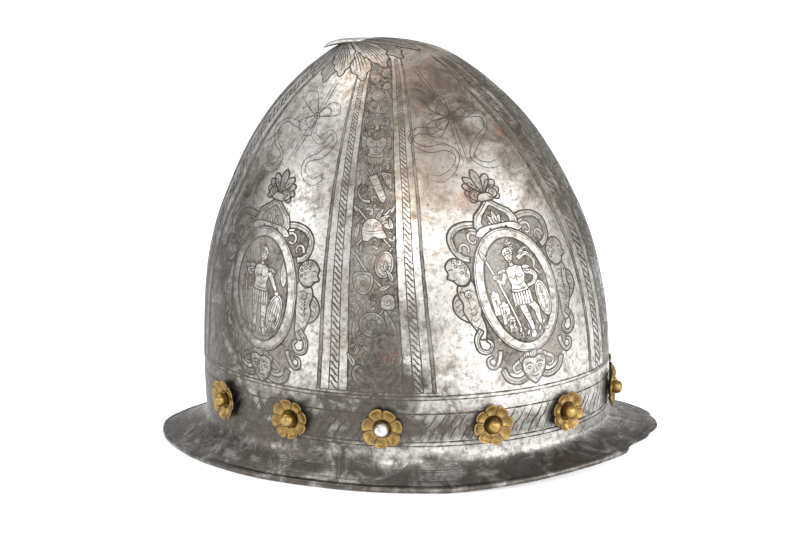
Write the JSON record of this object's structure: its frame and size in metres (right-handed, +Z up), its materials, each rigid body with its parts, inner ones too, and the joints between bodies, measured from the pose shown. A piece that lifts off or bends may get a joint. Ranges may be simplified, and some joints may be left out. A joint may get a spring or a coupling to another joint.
{
  "type": "cabasset",
  "caption": "A tall almond-shaped steel skull cap helmet with a short bent stalk, a narrow turned-edge brim, etched bands and medallions, and brass rosettes riveted round its base",
  "frame": {"origin": "on the surface that the brim stands on, under the middle of the brim", "axes": "+X to the front of the helmet, +Y to the wearer's left, +Z up; the stalk points to -X"},
  "size_m": [0.294, 0.22, 0.2347],
  "materials": {
    "etched_steel": "etched, worn, pitted grey steel",
    "gilt_brass": "worn gilt",
    "rivet_brass": "aged satin",
    "rivet_steel": "bright, rough"
  },
  "bodies": {
    "root": {"skull_with_brim": "etched_steel", "rosette_01": "gilt_brass", "rosette_02": "gilt_brass", "rosette_03": "gilt_brass", "rosette_04": "gilt_brass", "rosette_05": "gilt_brass", "rosette_06": "gilt_brass", "rosette_07": "gilt_brass", "rosette_08": "gilt_brass", "rosette_09": "gilt_brass", "rosette_10": "gilt_brass", "rosette_11": "gilt_brass", "rivet_01": "rivet_brass", "rivet_02": "rivet_brass", "rivet_03": "rivet_brass", "rivet_04": "rivet_brass", "rivet_05": "rivet_brass", "rivet_06": "rivet_brass", "rivet_07": "rivet_brass", "rivet_08": "rivet_brass", "rivet_09": "rivet_steel", "rivet_10": "rivet_brass", "rivet_11": "rivet_brass"}
  },
  "joints": []
}
